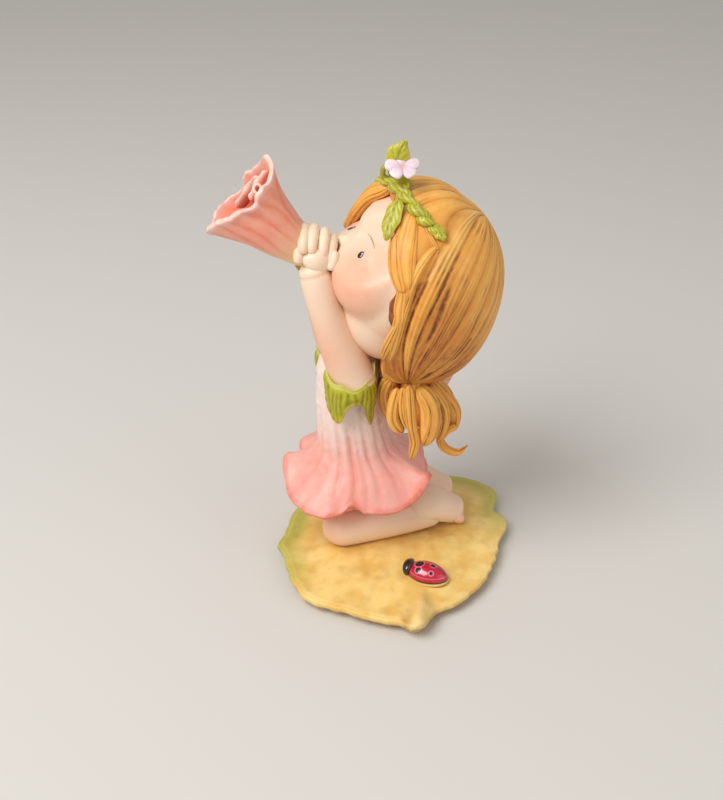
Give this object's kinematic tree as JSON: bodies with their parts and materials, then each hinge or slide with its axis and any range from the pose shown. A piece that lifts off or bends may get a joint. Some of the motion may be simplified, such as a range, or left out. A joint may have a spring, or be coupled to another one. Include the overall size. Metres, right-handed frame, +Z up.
{
  "type": "fairy figurine",
  "caption": "Cast resin figurine of a kneeling fairy on a leaf, blowing a flower trumpet, with a ladybird at her side, flat underneath.",
  "frame": {"origin": "on the leaf's flat underside, below the leaf's middle", "axes": "+Z up and the figurine's longest way, -X the way the fairy faces, -Y her left side, where the ladybird is"},
  "size_m": [0.0638, 0.0587, 0.0955],
  "materials": {
    "painted_resin": "cast resin under hand-brushed satin paint in skin, pink, green, golden orange and ochre, with brown washes in the grooves and a clear gloss on the ladybird"
  },
  "bodies": {
    "root": {"figurine": "painted_resin"}
  },
  "joints": []
}
